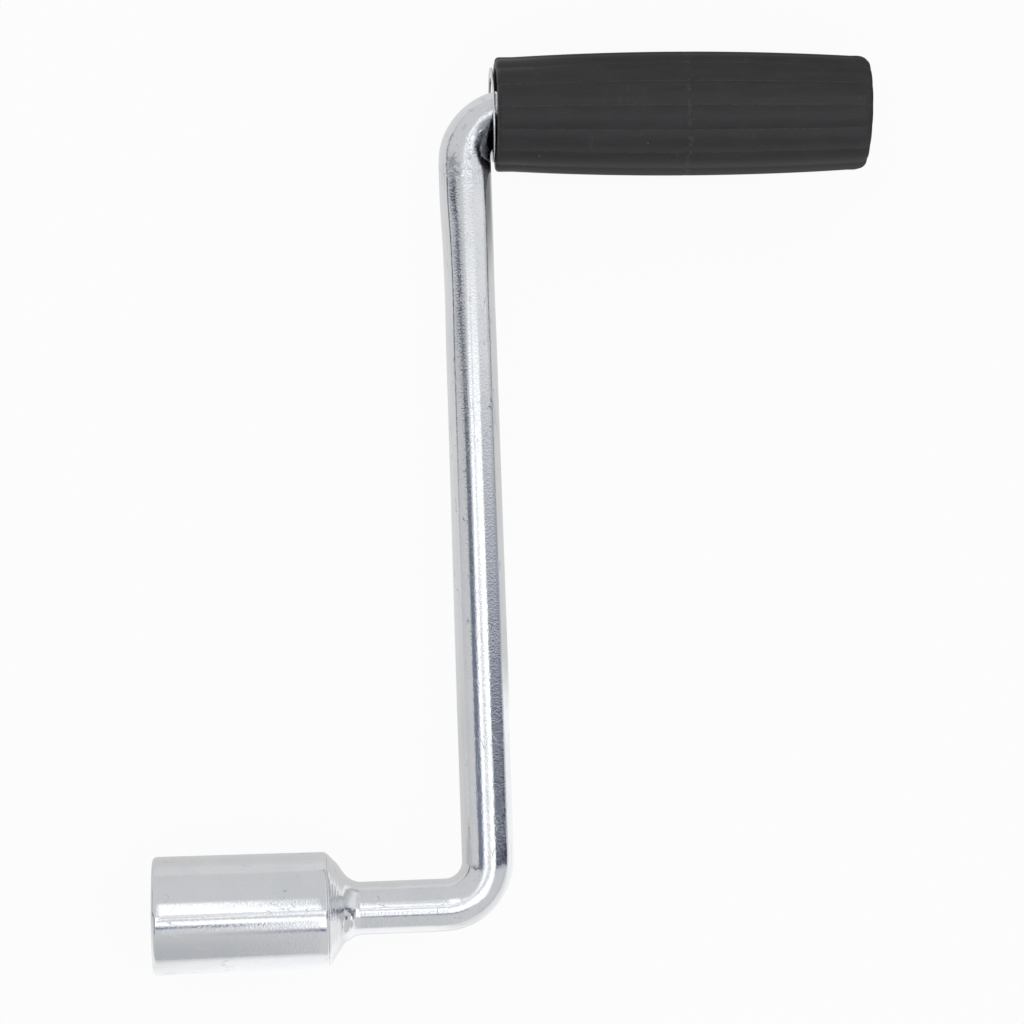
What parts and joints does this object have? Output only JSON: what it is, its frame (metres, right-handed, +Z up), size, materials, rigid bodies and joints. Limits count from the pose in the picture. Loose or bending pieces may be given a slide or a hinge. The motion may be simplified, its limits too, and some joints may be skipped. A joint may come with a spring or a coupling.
{
  "type": "crank handle",
  "caption": "Z-shaped hand crank of zinc-plated round bar, with a hexagon drive socket welded on the short leg and a fluted barrel grip that spins on the other leg.",
  "frame": {"origin": "middle of the drive socket's mouth, on the axis that the crank turns about", "axes": "+X from the mouth into the socket along its axis, +Y along the arm towards the grip, +Z up as the crank lies flat"},
  "size_m": [0.1697, 0.2065, 0.0283],
  "materials": {
    "rod_zinc": "bright zinc plate over drawn steel bar, lightly scratched",
    "socket_zinc": "bright zinc plate over turned steel",
    "weld_zinc": "zinc plate over a rippled weld bead",
    "washer_zinc": "zinc plate",
    "grip_plastic": "black moulded plastic, satin, with handling scuffs"
  },
  "bodies": {
    "crank": {"crank_rod": "rod_zinc", "drive_socket": "socket_zinc", "socket_weld": "weld_zinc", "end_washer": "washer_zinc", "thrust_washer": "washer_zinc"},
    "grip": {"grip_sleeve": "grip_plastic"}
  },
  "joints": [
    {"name": "grip_spin", "type": "hinge", "parent": "crank", "child": "grip", "pos_m": [0.12674, 0.17871, 0], "axis": [0.9998, -0.0218, 0], "continuous": true}
  ]
}
